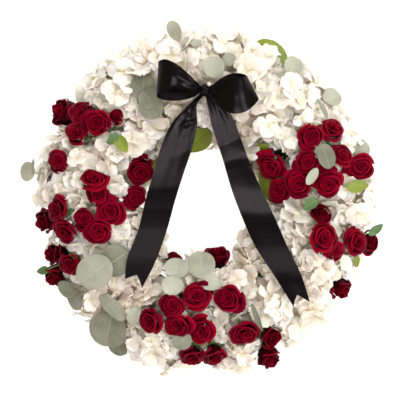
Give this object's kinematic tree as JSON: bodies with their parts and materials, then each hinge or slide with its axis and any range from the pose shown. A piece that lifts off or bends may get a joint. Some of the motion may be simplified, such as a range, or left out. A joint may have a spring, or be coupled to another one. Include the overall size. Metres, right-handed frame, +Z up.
{
  "type": "memorial wreath",
  "caption": "Round funeral wreath of white hydrangea, dark red spray roses and eucalyptus on a foam ring, with a black satin bow and long ribbon tails.",
  "frame": {"origin": "middle of the wreath's footprint, on the surface that it lies on", "axes": "+Z up out of the face of flowers, +Y from the ring's centre towards the bow"},
  "size_m": [0.5482, 0.53, 0.1682],
  "materials": {
    "hydrangea": "fresh petals, matt and slightly translucent, creamy white",
    "rose": "fresh velvety petals, dark crimson, with green sepals and stems",
    "eucalyptus": "fresh leaves with a matt grey-green bloom",
    "green_leaf": "fresh bright green leaves, half gloss",
    "satin": "black polyester satin, soft sheen",
    "pearl": "pearl lacquer head on a pin",
    "florist_wire": "green lacquered florist's wire",
    "floral_foam": "wet open-cell phenolic foam",
    "tray": "moulded dark green polypropylene"
  },
  "bodies": {
    "root": {"bow_knot": "satin", "pearl_pin": "pearl", "bow_wire": "florist_wire", "bow_loop_left": "satin", "bow_loop_right": "satin", "ribbon_tail_left": "satin", "ribbon_tail_right": "satin", "rose_spray_01": "rose", "rose_spray_02": "rose", "rose_spray_03": "rose", "rose_spray_04": "rose", "rose_spray_05": "rose", "rose_spray_06": "rose", "rose_spray_07": "rose", "rose_spray_08": "rose", "rose_spray_09": "rose", "rose_spray_10": "rose", "rose_spray_11": "rose", "rose_spray_12": "rose", "rose_spray_13": "rose", "rose_spray_14": "rose", "rose_spray_15": "rose", "rose_spray_16": "rose", "rose_spray_17": "rose", "rose_spray_18": "rose", "rose_spray_19": "rose", "eucalyptus_sprig_01": "eucalyptus", "eucalyptus_sprig_02": "eucalyptus", "eucalyptus_sprig_03": "eucalyptus", "eucalyptus_sprig_04": "eucalyptus", "eucalyptus_sprig_05": "eucalyptus", "eucalyptus_sprig_06": "eucalyptus", "eucalyptus_sprig_07": "eucalyptus", "eucalyptus_sprig_08": "eucalyptus", "eucalyptus_sprig_09": "eucalyptus", "eucalyptus_sprig_10": "eucalyptus", "eucalyptus_sprig_11": "eucalyptus", "eucalyptus_sprig_12": "eucalyptus", "eucalyptus_sprig_13": "eucalyptus", "broad_leaf_01": "green_leaf", "broad_leaf_02": "green_leaf", "broad_leaf_03": "green_leaf", "broad_leaf_04": "green_leaf", "hydrangea_head_01": "hydrangea", "hydrangea_head_02": "hydrangea", "hydrangea_head_03": "hydrangea", "hydrangea_head_04": "hydrangea", "hydrangea_head_05": "hydrangea", "hydrangea_head_06": "hydrangea", "hydrangea_head_07": "hydrangea", "hydrangea_head_08": "hydrangea", "hydrangea_head_09": "hydrangea", "hydrangea_head_10": "hydrangea", "hydrangea_head_11": "hydrangea", "hydrangea_head_12": "hydrangea", "hydrangea_head_13": "hydrangea", "hydrangea_head_14": "hydrangea", "hydrangea_head_15": "hydrangea", "foam_ring": "floral_foam", "ring_tray": "tray"}
  },
  "joints": []
}
